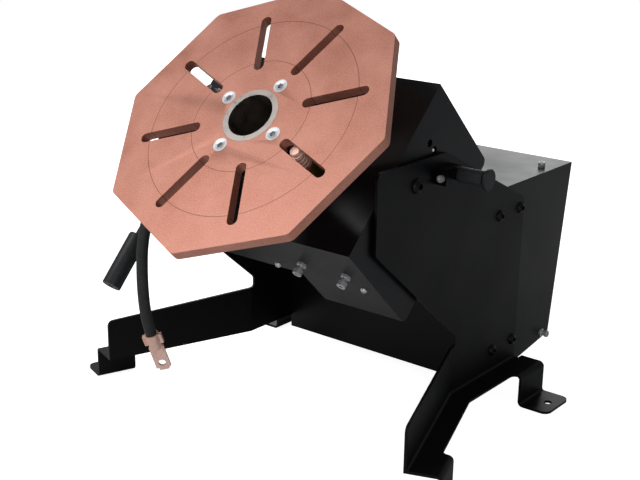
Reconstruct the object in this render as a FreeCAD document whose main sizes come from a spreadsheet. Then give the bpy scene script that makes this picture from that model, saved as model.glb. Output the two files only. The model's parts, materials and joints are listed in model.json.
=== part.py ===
"""Welding positioner: a tilting head with a powered octagonal copper table between two folded side plates.

Millimetres. X runs along the tilt axis, Y towards the back, Z up. The origin is on the floor, midway between
the two rear anchor holes. Pieces of the head are drawn about the tilt axis with the table level, then tilted.
"""
import FreeCAD, Part
import math
import os
import re

import Sketcher
from FreeCAD import Placement, Rotation, Vector

doc = FreeCAD.newDocument("WeldingPositioner")
sheet = doc.addObject("Spreadsheet::Sheet", "Sizes")

# ---------------------------------------------------------------- driving sizes
SIZES = (
    ("plate_face", 195, "outer face of a side plate, from the middle"),
    ("plate_gauge", 4, "folded side plate"),
    ("plate_top", 418, "top edge of the side plate"),
    ("plate_front", -353, "front edge of the side plate"),
    ("plate_rear", 24, "rear edge of the side plate"),
    ("nose_low", 309, "foot of the front edge, above the notch"),
    ("shoulder_back", -197, "where the top edge starts to fall"),
    ("shoulder_low", 310, "top of the rear edge"),
    ("notch_back", -151, "deepest point of the front notch"),
    ("notch_high", 139, "top corner of the notch"),
    ("notch_low", 123, "bottom corner of the notch"),
    ("splay_line", -159, "fold where the front leg turns out"),
    ("splay", 20, "angle of the front leg, degrees"),
    ("leg_length", 246, "front leg, from its fold"),
    ("leg_root", 122.5, "top of the leg at its fold"),
    ("leg_tip", 111, "top of the leg at its end"),
    ("corner_round", 9, "rounded corners of the side plate"),
    ("flange_top", 51, "top of the bottom flange"),
    ("flange_width", 34, "bottom flange, beyond the plate face"),
    ("foot_drop", 48, "outer face of a foot's upright, beyond the plate face"),
    ("foot_reach", 95, "end of a foot's pad, beyond the plate face"),
    ("rear_foot", 70, "width of a rear foot"),
    ("front_foot", 62, "width of a front foot"),
    ("pad_round", 12, "rounded corners of a pad"),
    ("bend", 4, "inside radius of a fold"),
    ("anchor_reach", 77, "anchor hole, beyond the plate face"),
    ("anchor_bore", 12, "anchor hole"),
    ("pivot_y", -266, "tilt axis, back to front"),
    ("pivot_z", 385, "height of the tilt axis"),
    ("tilt_rest", 45, "tilt of the table from level, degrees"),
    ("pivot_bolt", 12, "shank of the pivot bolts"),
    ("bush_wall", 3, "wall of the pivot bush"),
    ("bush_collar", 30, "collar of the pivot bush"),
    ("running_fit", 0.05, "radial clearance of what turns or slides in a bore"),
    ("seat_fit", 0.02, "radial clearance of what is fixed in a bore"),
    ("air", 0.3, "gap between faces that move past each other"),
    ("cap_head", 17.5, "button heads of the side bolts"),
    ("cap_height", 5.5, "height of those heads"),
    ("bolt_shank", 10, "side bolts"),
    ("bolt_grip", 16, "length of the side bolts under the head"),
    ("bolt_front", -45, "front row of side bolts"),
    ("bolt_back", 14, "rear row of side bolts"),
    ("bolt_high", 295, "upper side bolts"),
    ("bolt_low", 83, "lower side bolts"),
    ("case_front", -57, "front face of the housing"),
    ("case_top", 334, "top of the housing"),
    ("case_back", 179, "rear edge of the housing at the top"),
    ("case_back_low", 139, "rear edge of the housing at the bottom"),
    ("case_low", 26, "underside at the front"),
    ("case_low_back", 55, "underside at the rear"),
    ("case_sheet", 2, "sheet of the housing"),
    ("cheek_gauge", 4, "head cheek"),
    ("head_gap", 3, "gap between a cheek and its side plate"),
    ("head_down", -141, "lower side of the head, from the tilt axis"),
    ("head_up", 129, "upper side of the head, from the tilt axis"),
    ("front_face", 49.35, "front face of the head's front plate, from the tilt axis"),
    ("front_gauge", 6, "head front plate"),
    ("head_seam", -31, "seam between the lower cover and the rear cover"),
    ("head_back", -56, "rear face of the shallow part of the head"),
    ("motor_back", -130.65, "rear face of the motor box"),
    ("motor_side", 50, "inner side of the motor box"),
    ("head_sheet", 2, "covers of the head"),
    ("index_radius", 62, "circle of index holes about the tilt axis"),
    ("index_start", 8, "index bolt, degrees above the level through the tilt axis"),
    ("index_step", 15, "pitch of the index holes, degrees"),
    ("index_pin", 10, "index bolt"),
    ("index_play", 0.4, "radial play of the index bolt in its holes"),
    ("spindle_drop", 17, "table axis below the tilt axis, with the table on edge"),
    ("table_face", 134.35, "table face from the tilt axis"),
    ("table_flats", 400, "table across flats"),
    ("table_thick", 15, "copper table plate"),
    ("table_turn", 23.25, "parked angle of the table, degrees"),
    ("table_corner", 12, "rounded corners of the table"),
    ("slot_width", 15, "radial slots"),
    ("slot_inner", 77, "inner end of a slot"),
    ("slot_outer", 171, "outer end of a slot"),
    ("spigot", 83, "spindle nose in the table"),
    ("through_bore", 66, "bore through the spindle"),
    ("screw_circle", 110.8, "table screws"),
    ("screw_head", 20.5, "countersunk heads of the table screws"),
    ("screw_shank", 10, "table screws"),
    ("flange_dia", 140, "spindle flange"),
    ("flange_thick", 12, "spindle flange"),
    ("spindle_dia", 80, "spindle in its bearings"),
    ("spindle_tail", -64, "rear end of the spindle, from the tilt axis"),
    ("bearing_dia", 125, "spindle bearings"),
    ("bearing_width", 22, "spindle bearings"),
    ("bearing_gap", 6, "between the bearings"),
    ("housing_dia", 150, "bearing housing"),
    ("housing_flange", 190, "flange of the bearing housing"),
    ("gear_module", 2.5, "spindle drive"),
    ("gear_teeth", 72, "spindle wheel"),
    ("pinion_teeth", 22, "motor pinion"),
    ("gear_width", 16, "spindle wheel"),
    ("gear_front", 18, "front face of the spindle wheel, from the tilt axis"),
    ("gear_backlash", 0.35, "thinning of each tooth at the pitch circle"),
    ("motor_dia", 78, "gear motor"),
    ("motor_shaft", 14, "output shaft of the gear motor"),
)
for row, (alias, value, note) in enumerate(SIZES, 1):
    sheet.set(f"A{row}", note)
    sheet.set(f"B{row}", str(value))
    sheet.setAlias(f"B{row}", alias)
doc.recompute()


class Size:
    """The sheet's values, read back by name."""


for alias, _, _ in SIZES:
    setattr(Size, alias, float(sheet.get(alias)))

S = Size
DEG = math.pi / 180
X, Y, Z = Vector(1, 0, 0), Vector(0, 1, 0), Vector(0, 0, 1)
parts = []


# ---------------------------------------------------------------- helpers
def linked(text):
    """The expression with each size read from the sheet."""
    return re.sub(r"\b(?!sin\b|cos\b|tan\b)([a-z][a-z_]+)\b", r"Sizes.\1", str(text))


def bind(feature, **sizes):
    for prop, text in sizes.items():
        feature.setExpression(prop, linked(text))
    return feature


def keep(feature, label, frame=None):
    """Names a sub-part and puts it in its frame."""
    feature.Label = label
    if frame is not None:
        feature.Placement = frame.multiply(feature.Placement)
    parts.append(feature)
    return feature


def new_body(label):
    return doc.addObject("PartDesign::Body", label)


def sketch_on(body, role, shift=("0", "0", "0"), turn=None):
    """A sketch on one of the body's own planes, moved by expressions and turned about an axis of the plane."""
    sketch = body.newObject("Sketcher::SketchObject", "Sketch")
    plane = [f for f in body.Origin.OriginFeatures if f.Role == role][0]
    sketch.AttachmentSupport = [(plane, "")]
    sketch.MapMode = "FlatFace"
    if turn:
        axis, angle = turn
        sketch.AttachmentOffset = Placement(Vector(), Rotation(axis, 1))
        sketch.setExpression("AttachmentOffset.Rotation.Angle", linked(angle))
    for letter, text in zip("xyz", shift):
        sketch.setExpression(f"AttachmentOffset.Base.{letter}", linked(text))
    return sketch


def fix_point(sketch, geometry, end, x, y):
    for kind, text in (("DistanceX", x), ("DistanceY", y)):
        index = sketch.addConstraint(Sketcher.Constraint(kind, -1, 1, geometry, end, 1.0))
        sketch.setExpression(f"Constraints[{index}]", linked(text))


def outline(sketch, points):
    """A closed outline of straight lines through points given as expressions."""
    count = len(points)
    first = sketch.GeometryCount
    turns = [2 * math.pi * i / count for i in range(count)]
    start = [Vector(9 * math.cos(turn), 9 * math.sin(turn), 0) for turn in turns]
    for i in range(count):
        sketch.addGeometry(Part.LineSegment(start[i], start[(i + 1) % count]), False)
    for i in range(count):
        sketch.addConstraint(Sketcher.Constraint("Coincident", first + i, 2, first + (i + 1) % count, 1))
    for i, (x, y) in enumerate(points):
        fix_point(sketch, first + i, 1, x, y)
    return sketch


def ring(sketch, diameter, x="0", y="0"):
    geometry = sketch.addGeometry(Part.Circle(Vector(1, 1, 0), Z, 5), False)
    index = sketch.addConstraint(Sketcher.Constraint("Diameter", geometry, 10.0))
    sketch.setExpression(f"Constraints[{index}]", linked(diameter))
    fix_point(sketch, geometry, 3, x, y)
    return sketch


def pad(body, sketch, length, back=False, middle=False):
    feature = body.newObject("PartDesign::Pad", "Pad")
    feature.Profile = sketch
    feature.Reversed = back
    feature.Midplane = middle
    return bind(feature, Length=length)


def pocket(body, sketch, length, back=False, middle=False):
    feature = body.newObject("PartDesign::Pocket", "Pocket")
    feature.Profile = sketch
    feature.Reversed = back
    feature.Midplane = middle
    return bind(feature, Length=length)


def lines_on(shape, places):
    """Names of the edges that lie along any of the given lines, each a point and a direction."""
    names = []
    for i, edge in enumerate(shape.Edges, 1):
        ends = [v.Point for v in edge.Vertexes]
        if len(ends) < 2 or not isinstance(edge.Curve, Part.Line):
            continue
        for point, direction in places:
            if all(end.distanceToLine(point, direction) < 0.4 for end in ends):
                names.append(f"Edge{i}")
                break
    return names


def round_off(body, places, radius):
    doc.recompute()
    base = body.Tip
    feature = body.newObject("PartDesign::Fillet", "Fillet")
    feature.Base = (base, lines_on(base.Shape, places))
    bind(feature, Radius=radius)
    body.Tip = feature
    return feature


def repeat(body, features, count):
    doc.recompute()
    pattern = body.newObject("PartDesign::PolarPattern", "PolarPattern")
    pattern.Originals = features
    pattern.Axis = ([f for f in body.Origin.OriginFeatures if f.Role == "Z_Axis"][0], [""])
    pattern.Angle = 360
    pattern.Occurrences = count
    body.Tip = pattern
    return pattern


def turned(direction):
    return Rotation(Z, direction)


def block(low, length, width, height):
    """A box from its low corner, its three sizes given as expressions."""
    feature = doc.addObject("Part::Box", "Box")
    feature.Placement = Placement(Vector(*low), Rotation())
    return bind(feature, Length=length, Width=width, Height=height)


def bar(start, direction, radius, length):
    """A round bar from a point along a direction."""
    feature = doc.addObject("Part::Cylinder", "Cylinder")
    feature.Placement = Placement(Vector(*start), turned(Vector(*direction)))
    return bind(feature, Radius=radius, Height=length)


def cone(start, direction, foot, tip, length):
    feature = doc.addObject("Part::Cone", "Cone")
    feature.Placement = Placement(Vector(*start), turned(Vector(*direction)))
    return bind(feature, Radius1=foot, Radius2=tip, Height=length)


def join(*shapes):
    feature = doc.addObject("Part::MultiFuse", "Fuse")
    feature.Shapes = list(shapes)
    feature.Refine = True
    return feature


def group(*shapes):
    feature = doc.addObject("Part::Compound", "Group")
    feature.Links = list(shapes)
    return feature


def cut(base, *tools):
    feature = doc.addObject("Part::Cut", "Cut")
    feature.Base = base
    feature.Tool = tools[0] if len(tools) == 1 else join(*tools)
    return feature


def mirrored(source):
    feature = doc.addObject("Part::Mirroring", "Mirror")
    feature.Source = source
    feature.Normal = X
    feature.Base = Vector()
    return feature


HEAD = Placement(Vector(0, S.pivot_y, S.pivot_z), Rotation(X, S.tilt_rest))
SPIN = HEAD.multiply(Placement(Vector(0, -S.spindle_drop, S.table_face), Rotation(Z, S.table_turn)))
index_angle = S.index_start - S.tilt_rest


# ---------------------------------------------------------------- side plates
# Each is one sheet: an upright with a notch in front, a flange folded out along its foot, a front leg turned
# out about an upright fold, and two stepped feet that end in pads with an anchor hole.
FLANGE_LOW = "flange_top - plate_gauge"
FOOT_ROOT = "plate_face + bend + plate_gauge"
LEG_END = S.leg_length
leg_way = Vector(math.sin(S.splay * DEG), -math.cos(S.splay * DEG), 0)
leg_out = Vector(math.cos(S.splay * DEG), math.sin(S.splay * DEG), 0)
fold_line = Vector(S.plate_face, S.splay_line, 0)
rear_end = S.rear_foot / 2


def foot_section(face):
    """The stepped section of a foot, out from the flange, down and out again to the pad."""
    root, drop, reach = (f"{face} + {step}" for step in ("bend + plate_gauge", "foot_drop", "foot_reach"))
    return (
        (root, FLANGE_LOW), (root, "flange_top"), (drop, "flange_top"), (drop, "plate_gauge"),
        (reach, "plate_gauge"), (reach, "0"), (f"{drop} - plate_gauge", "0"),
        (f"{drop} - plate_gauge", FLANGE_LOW),
    )


def leg_point(out, along, height):
    return fold_line + leg_out * out + leg_way * along + Z * height


def bends(out, height):
    """A fold line of the rear flange and the same fold on the splayed leg."""
    return (
        (Vector(S.plate_face + out, 0, height), Y),
        (leg_point(out, 0, height), leg_way),
    )


plate = new_body("PlateBlank")
pad(plate, outline(sketch_on(plate, "YZ_Plane", ("0", "0", "plate_face")), (
    ("plate_rear", FLANGE_LOW), ("plate_rear", "shoulder_low"), ("shoulder_back", "plate_top"),
    ("plate_front", "plate_top"), ("plate_front", "nose_low"), ("notch_back", "notch_high"),
    ("notch_back", "notch_low"), ("splay_line", "leg_root"), ("splay_line", FLANGE_LOW),
)), "plate_gauge", back=True)
pad(plate, outline(sketch_on(plate, "YZ_Plane", ("splay_line", "0", "plate_face"), (Y, "splay")), (
    ("plate_gauge * tan(splay)", FLANGE_LOW), ("plate_gauge * tan(splay)", "leg_root"),
    ("-leg_length", "leg_tip"), ("-leg_length", FLANGE_LOW),
)), "plate_gauge", back=True)
pad(plate, outline(sketch_on(plate, "XY_Plane", ("0", "0", "flange_top")), (
    ("plate_face - plate_gauge", "plate_rear"), (FOOT_ROOT, "plate_rear"), (FOOT_ROOT, "rear_foot / 2"),
    ("plate_face + flange_width", "rear_foot / 2"), ("plate_face + flange_width", "splay_line"),
    ("plate_face - plate_gauge", "splay_line"),
)), "plate_gauge", back=True)
pad(plate, outline(sketch_on(plate, "XY_Plane", ("plate_face", "splay_line", "flange_top"), (Z, "splay")), (
    ("-plate_gauge", "plate_gauge * tan(splay)"), ("0", "0"),
    ("flange_width * cos(splay)", "-flange_width * sin(splay)"),
    ("flange_width * cos(splay)", "-leg_length"), ("-plate_gauge", "-leg_length"),
)), "plate_gauge", back=True)
pad(plate, outline(sketch_on(plate, "XZ_Plane", ("0", "0", "-rear_foot / 2")), foot_section("plate_face")),
    "rear_foot")
pad(plate, outline(sketch_on(
    plate, "XZ_Plane",
    ("plate_face + leg_length * sin(splay)", "0", "leg_length * cos(splay) - splay_line"), (Y, "splay"),
), foot_section("0")), "front_foot", back=True)
pocket(plate, ring(sketch_on(plate, "XY_Plane", ("0", "0", "flange_top")),
                   "anchor_bore", "plate_face + anchor_reach", "0"), "flange_top")
pocket(plate, ring(sketch_on(plate, "XY_Plane", ("plate_face", "splay_line", "flange_top"), (Z, "splay")),
                   "anchor_bore", "anchor_reach", "front_foot / 2 - leg_length"), "flange_top")
holes = sketch_on(plate, "YZ_Plane", ("0", "0", "plate_face"))
ring(holes, "pivot_bolt + 2 * bush_wall + 2 * seat_fit", "pivot_y", "pivot_z")
for along in ("bolt_front", "bolt_back"):
    for height in ("bolt_high", "bolt_low"):
        ring(holes, "bolt_shank + 2 * seat_fit", along, height)
pocket(plate, holes, "plate_gauge")

low = S.flange_top - S.plate_gauge
outer = S.foot_drop - S.plate_gauge
round_off(plate, [*bends(0, S.flange_top), *bends(outer, low), *bends(S.foot_drop, S.plate_gauge)], "bend")
round_off(plate, [*bends(S.foot_drop, S.flange_top), *bends(outer, 0)], "bend + plate_gauge")
pad_corners = [(Vector(S.plate_face + S.foot_reach, side * rear_end, 0), Z) for side in (-1, 1)]
pad_corners += [(leg_point(S.foot_reach, along, 0), Z) for along in (LEG_END, LEG_END - S.front_foot)]
round_off(plate, pad_corners, "pad_round")
round_off(plate, [
    (Vector(S.plate_face + S.flange_width, -rear_end, 0), Z),
    (leg_point(S.flange_width * math.cos(S.splay * DEG), LEG_END - S.front_foot, 0), Z),
    (Vector(0, S.notch_back, S.notch_high), X),
    (Vector(0, S.plate_front, S.plate_top), X), (Vector(0, S.plate_front, S.nose_low), X),
    (Vector(0, S.shoulder_back, S.plate_top), X), (Vector(0, S.plate_rear, S.shoulder_low), X),
    (leg_point(0, LEG_END, S.leg_tip), leg_out),
], "corner_round")
round_off(plate, [(Vector(0, S.notch_back, S.notch_low), X)], "bend")

# The right-hand plate carries the index bolt, so it has one more hole.
index_y = S.pivot_y + S.index_radius * math.cos(S.index_start * DEG)
index_z = S.pivot_z + S.index_radius * math.sin(S.index_start * DEG)
plate_inner = S.plate_face - S.plate_gauge
keep(mirrored(plate), "side_plate_left")
keep(cut(plate, bar((plate_inner - 1, index_y, index_z), (1, 0, 0), "index_pin / 2 + 1", "plate_gauge + 2")),
     "side_plate_right")


def tube(start, direction, outer, inner, length):
    return cut(bar(start, direction, outer, length), bar(start, direction, inner, length))


def beam(x, y, z):
    """A box between pairs of coordinates."""
    feature = doc.addObject("Part::Box", "Box")
    feature.Placement = Placement(Vector(x[0], y[0], z[0]), Rotation())
    feature.Length, feature.Width, feature.Height = x[1] - x[0], y[1] - y[0], z[1] - z[0]
    return feature


# ---------------------------------------------------------------- pivot and side bolts
BUSH_FACE = plate_inner - S.head_gap + S.air
PIVOT_R = S.pivot_bolt / 2
bushes = []
for side in (1, -1):
    pivot = (side * BUSH_FACE, S.pivot_y, S.pivot_z)
    collar = bar(pivot, (side, 0, 0), "bush_collar / 2", "head_gap - air")
    sleeve = bar(pivot, (side, 0, 0), "pivot_bolt / 2 + bush_wall", "head_gap - air + plate_gauge")
    bore = bar(pivot, (side, 0, 0), "pivot_bolt / 2 + running_fit", "head_gap + plate_gauge")
    bushes.append(cut(join(collar, sleeve), bore))
keep(group(*bushes), "pivot_bushes")

for side, label in ((1, "side_bolts_right"), (-1, "side_bolts_left")):
    bolts = []
    for along in (S.bolt_front, S.bolt_back):
        for height in (S.bolt_high, S.bolt_low):
            face = (side * S.plate_face, along, height)
            shank = bar(face, (-side, 0, 0), "bolt_shank / 2", "bolt_grip")
            head = cut(bar(face, (side, 0, 0), "cap_head / 2", "cap_height"),
                       bar((side * (S.plate_face + 2), along, height), (side, 0, 0), 3, 4))
            nut = bar((side * (plate_inner - S.case_sheet), along, height), (-side, 0, 0), 8.5, 8)
            bolts.append(join(shank, head, nut))
    keep(group(*bolts), label)

# ---------------------------------------------------------------- housing
SLOPE = Vector(0, S.case_back - S.case_back_low, S.case_top - S.case_low_back).normalize()
OUTWARD = Vector(0, SLOPE.z, -SLOPE.y)
rear_middle = Vector(0, (S.case_back + S.case_back_low) / 2, (S.case_top + S.case_low_back) / 2)
REAR = Placement(rear_middle, Rotation(-X, SLOPE, OUTWARD, "ZYX"))
LID_LOW = "case_top - case_sheet"

tub = new_body("TubShell")
pad(tub, outline(sketch_on(tub, "YZ_Plane"), (
    ("case_front", "case_low"), ("case_back_low", "case_low_back"),
    ("case_back - case_sheet / 7", LID_LOW), ("case_front", LID_LOW),
)), "2 * (plate_face - plate_gauge)", middle=True)
pocket(tub, outline(sketch_on(tub, "YZ_Plane"), (
    ("case_front + case_sheet", "case_low + case_sheet * 1.2"),
    ("case_back_low + 40", "case_low_back + case_sheet + 6"),
    ("case_back + 40", "case_top + 5"), ("case_front + case_sheet", "case_top + 5"),
)), "2 * (plate_face - plate_gauge - case_sheet)", middle=True)
holes = sketch_on(tub, "YZ_Plane")
for along in ("bolt_front", "bolt_back"):
    for height in ("bolt_high", "bolt_low"):
        ring(holes, "bolt_shank + 2 * seat_fit", along, height)
pocket(tub, holes, "2 * plate_face + 20", middle=True)
wall = plate_inner - S.case_sheet
strips = []
for x in ((-wall, -wall + 12), (wall - 12, wall)):
    strip = beam(x, (-132, 130), (-2 * S.case_sheet, -S.case_sheet))
    strip.Placement = REAR.multiply(strip.Placement)
    strips.append(strip)
screw_places = [(x, y) for x in (-wall + 6, wall - 6) for y in (-110, 0, 110)]
screw_bores = []
for x, y in screw_places:
    bore = bar((x, y, -9), (0, 0, 1), "2 + seat_fit", 10)
    bore.Placement = REAR.multiply(bore.Placement)
    screw_bores.append(bore)
EARTH = (plate_inner, 116, 61.5)
earth_bore = bar((wall - 1, EARTH[1], EARTH[2]), (1, 0, 0), "4 + seat_fit", "case_sheet + 2")
keep(cut(join(tub, *strips), earth_bore, *screw_bores), "base_tub")

lid = beam((-plate_inner, plate_inner), (S.case_front, S.case_back), (S.case_top - S.case_sheet, S.case_top))
lid_hem = beam((-plate_inner, plate_inner), (S.case_front - 1.5, S.case_front), (S.case_top - 14, S.case_top))
STUD = (171, 116)
keep(cut(join(lid, lid_hem), bar((*STUD, S.case_top - 3), (0, 0, 1), "2.5 + seat_fit", 4)), "top_cover")
keep(join(bar((*STUD, S.case_top), (0, 0, 1), 5.5, 8), bar((*STUD, S.case_top), (0, 0, -1), 2.5, 12)), "top_stud")

sheet_back = -S.case_sheet
panel = beam((-wall, wall), (-138, 137.5), (sheet_back, 0))
cable_bore = bar((110, -80, -3), (0, 0, 1), "14 + seat_fit", 4)
inlet_bore = beam((-134, -86), (-94, -66), (-3, 1))
knob_bore = bar((90, 60, -3), (0, 0, 1), "3 + running_fit", 4)
rocker_bore = beam((-109, -91), (46, 74), (-3, 1))
toggle_bore = bar((0, 60, -3), (0, 0, 1), "6 + seat_fit", 4)
panel_bores = [bar((x, y, -3), (0, 0, 1), "2 + seat_fit", 4) for x, y in screw_places]
keep(cut(panel, cable_bore, inlet_bore, knob_bore, rocker_bore, toggle_bore, *panel_bores), "rear_panel", REAR)
keep(group(*[join(bar((x, y, 0), (0, 0, 1), 3.5, 2.2), bar((x, y, 0), (0, 0, -1), 2, 8))
             for x, y in screw_places]), "panel_screws", REAR)

inlet = join(beam((-134, -86), (-94, -66), (-22, 0)), beam((-140, -80), (-100, -60), (0, 3)))
keep(cut(inlet, beam((-128, -92), (-90, -70), (-14, 4))), "power_inlet", REAR)
socket = join(bar((110, -80, -16), (0, 0, 1), 14, 16), bar((110, -80, 0), (0, 0, 1), 17, 6))
keep(cut(socket, bar((110, -80, -6), (0, 0, 1), 10, 13)), "pedal_socket", REAR)
keep(cut(bar((90, 60, -16), (0, 0, 1), 12, 14), bar((90, 60, -12), (0, 0, 1), "3 + running_fit", 11)),
     "speed_pot", REAR)
knob = join(bar((90, 60, -10), (0, 0, 1), 3, 14), bar((90, 60, 0.5), (0, 0, 1), 13, 14),
            beam((89, 91), (66, 74), (14.5, 15.3)))
keep(knob, "speed_knob", REAR)
frame_box = join(beam((-109, -91), (46, 74), (-16, 0)), beam((-111, -89), (44, 76), (0, 2)))
keep(cut(frame_box, beam((-107, -93), (48, 72), (-12, 3))), "power_switch", REAR)
rocker = new_body("RockerBlank")
pad(rocker, outline(sketch_on(rocker, "YZ_Plane", ("0", "0", "-100")), (
    ("49.5", "3.5"), ("49.5", "-1.5"), ("58", "-6"), ("62", "-6"), ("70.5", "-1.5"), ("70.5", "0.5"),
    ("60", "1.5"),
)), "13", middle=True)
keep(rocker, "power_rocker", REAR)
toggle_case = join(beam((-8, 8), (49, 71), (-20, -2)), bar((0, 60, -2), (0, 0, 1), 6, 10))
keep(cut(toggle_case, cone((0, 60, -8), (0, 0, 1), 2.6, 5, 17)), "direction_switch", REAR)
lever_way = Vector(0, math.sin(10 * DEG), math.cos(10 * DEG))
lever_foot = Vector(0, 60, -6)
keep(join(bar(lever_foot, lever_way, 1.9, 28), bar(lever_foot + lever_way * 20, lever_way, 2.8, 9)),
     "direction_toggle", REAR)

supply = join(beam((-160, -20), (-55, -5), (90, 250)), beam((-150, -30), (-5, -2), (100, 240)))
keep(supply, "power_supply")
board = beam((10, 160), (-47, -45.4), (90, 230))
pillars = [bar((x, -55, z), (0, 1, 0), 3, 8) for x in (18, 152) for z in (98, 222)]
chips = [beam((40, 80), (-45.4, -25), (110, 150)), beam((95, 140), (-45.4, -30), (120, 200)),
         beam((35, 75), (-45.4, -35), (175, 215))]
keep(join(board, *pillars, *chips), "control_board")
earth = join(bar((wall - 8, *EARTH[1:]), (1, 0, 0), 4, 18), bar((wall + 10, *EARTH[1:]), (1, 0, 0), 5.5, 4.5),
             bar((plate_inner, *EARTH[1:]), (1, 0, 0), 6.5, 2.5), bar((wall, *EARTH[1:]), (-1, 0, 0), 6, 4))
keep(earth, "earth_stud")

# ---------------------------------------------------------------- index bolt
BLOCK_FACE = S.plate_face + 18
HALF_WIDTH = "plate_face - plate_gauge - head_gap"
HEAD_HALF = S.plate_face - S.plate_gauge - S.head_gap
index_at = (S.plate_face, index_y, index_z)
STROKE = 9
block_body = join(beam((S.plate_face, BLOCK_FACE), (-224, -186), (index_z - 14.6, index_z + 8)),
                  bar((BLOCK_FACE, index_y, index_z), (1, 0, 0), 8.5, 2 * STROKE + 1))
index_bore = bar(index_at, (1, 0, 0), "index_pin / 2 + running_fit", BLOCK_FACE - S.plate_face + 2 * STROKE + 2)
CLAMP = (205.5, -224, index_z - 5)
keep(cut(block_body, index_bore, bar(CLAMP, (0, 1, 0), "3 + seat_fit", 12)), "plunger_block")
clamp = join(bar(CLAMP, (0, 1, 0), 3, 12), bar(CLAMP, (0, -1, 0), 5, 4))
keep(cut(clamp, bar((CLAMP[0], -226, CLAMP[2]), (0, -1, 0), 2.5, 3)), "plunger_block_screw")
pin_tip = HEAD_HALF + 1
pin = join(bar((pin_tip + 2, index_y, index_z), (1, 0, 0), "index_pin / 2", 66),
           cone((pin_tip, index_y, index_z), (1, 0, 0), "index_pin / 2 - 1", "index_pin / 2", 2))
keep(pin, "plunger_pin")
grip_start = BLOCK_FACE + STROKE + 0.4
grip = join(bar((grip_start, index_y, index_z), (1, 0, 0), 10.75, 37),
            bar((grip_start + 37, index_y, index_z), (1, 0, 0), 8, 4),
            bar((grip_start + 41, index_y, index_z), (1, 0, 0), 14.5, 4.5))
grip_bore = bar((grip_start, index_y, index_z), (1, 0, 0), "index_pin / 2 + seat_fit", 34.6)
skirt = bar((grip_start - 1, index_y, index_z), (1, 0, 0), 8.5 + S.air, 2 * STROKE + 2)
keep(cut(grip, grip_bore, skirt), "plunger_grip")

# ---------------------------------------------------------------- head box
PLATE_BACK = S.front_face - S.front_gauge
inside = HEAD_HALF - S.cheek_gauge


def cheek(side, back):
    """A side sheet of the head with the boss that takes the pivot bolt."""
    body = new_body("CheekBlank")
    plane = sketch_on(body, "YZ_Plane", ("0", "0", HALF_WIDTH))
    pad(body, outline(plane, (
        ("head_down", "front_face - front_gauge"), ("head_up", "front_face - front_gauge"),
        ("head_up", back), ("head_down", back),
    )), "cheek_gauge", back=True)
    rear = getattr(S, back)
    round_off(body, [(Vector(0, S.head_up, rear), X), (Vector(0, S.head_down, rear), X)], "corner_round")
    boss = bar((inside, 0, 0), (-1, 0, 0), 16, 12)
    bore = bar((inside - 13, 0, 0), (1, 0, 0), "pivot_bolt / 2 + seat_fit", 20)
    holes = []
    if side > 0:
        for step in range(-3, 4):
            angle = (index_angle + step * S.index_step) * DEG
            at = (inside - 1, S.index_radius * math.cos(angle), S.index_radius * math.sin(angle))
            holes.append(bar(at, (1, 0, 0), "index_pin / 2 + index_play", 6))
    shape = cut(join(body, boss), bore, *holes)
    return shape if side > 0 else mirrored(shape)


keep(cheek(1, "motor_back"), "head_cheek_right", HEAD)
left = cheek(-1, "head_back")
keep(left, "head_cheek_left", HEAD)

GEAR_X = (S.gear_teeth + S.pinion_teeth) * S.gear_module / 2
axis_y = -S.spindle_drop
front = block((-HEAD_HALF, S.head_down, PLATE_BACK), f"2 * ({HALF_WIDTH})", "head_up - head_down", "front_gauge")
bolt_circle = S.housing_dia / 2 + 9
FLANGE_BOLTS = [(bolt_circle * math.cos(a * DEG), axis_y + bolt_circle * math.sin(a * DEG))
                for a in range(0, 360, 60)]
flange_bores = [bar((x, y, PLATE_BACK - 1), (0, 0, 1), "4 + seat_fit", 8) for x, y in FLANGE_BOLTS]
main_bore = bar((0, axis_y, PLATE_BACK - 1), (0, 0, 1), "housing_dia / 2 - 10 + seat_fit", "front_gauge + 2")
keep(cut(front, main_bore, *flange_bores), "head_front_plate", HEAD)

t = S.head_sheet
sole = S.head_down + 2.5
split = S.motor_side + 6
keep(join(beam((-inside, inside), (S.head_up - t, S.head_up), (S.head_back, PLATE_BACK)),
          beam((S.motor_side, inside), (S.head_up - t, S.head_up), (S.motor_back + 9, S.head_back))),
     "head_top_cover", HEAD)
GEARBOX_BOLTS = [(70.6, -22.65), (145.2, -22.65)]
lower = beam((-inside, inside), (sole, sole + t), (S.head_seam + 0.2, PLATE_BACK))
keep(cut(lower, *[bar((x, sole - 1, z), (0, 1, 0), "4 + seat_fit", 4) for x, z in GEARBOX_BOLTS]),
     "head_bottom_cover", HEAD)
rear = join(beam((-inside, split), (sole, sole + t), (S.head_back, S.head_seam)),
            beam((-inside, S.motor_side), (sole, S.head_up - t), (S.head_back, S.head_back + t)))
COVER_SCREWS = [(-150, -48), (13, -48), (47, -48), (158, -54)]
cover_bores = [bar((x, sole - 1, z), (0, 1, 0), "3 + seat_fit", 4) for x, z in COVER_SCREWS]
keep(cut(rear, bar((0, axis_y, S.head_back - 1), (0, 0, 1), "spindle_dia / 2 + 2", 5), *cover_bores[:3]),
     "head_rear_cover", HEAD)
deep = join(beam((split + 0.2, inside), (sole, sole + t), (S.head_back, S.head_seam)),
            beam((S.motor_side, inside), (sole, sole + t), (S.motor_back, S.head_back)),
            beam((S.motor_side, inside), (sole, S.head_up - t), (S.motor_back, S.motor_back + t)),
            beam((S.motor_side, S.motor_side + t), (sole, S.head_up - t), (S.motor_back, S.head_back)))
keep(cut(deep, cover_bores[3]), "motor_cover", HEAD)
screws = []
for x, z in COVER_SCREWS:
    face = (x, sole, z)
    inner = (x, sole + t, z)
    screws.append(join(bar(face, (0, 1, 0), 3, 9), bar(face, (0, -1, 0), 5, 4.5), bar(inner, (0, 1, 0), 5, 4)))
keep(group(*screws), "head_cover_screws", HEAD)

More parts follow.
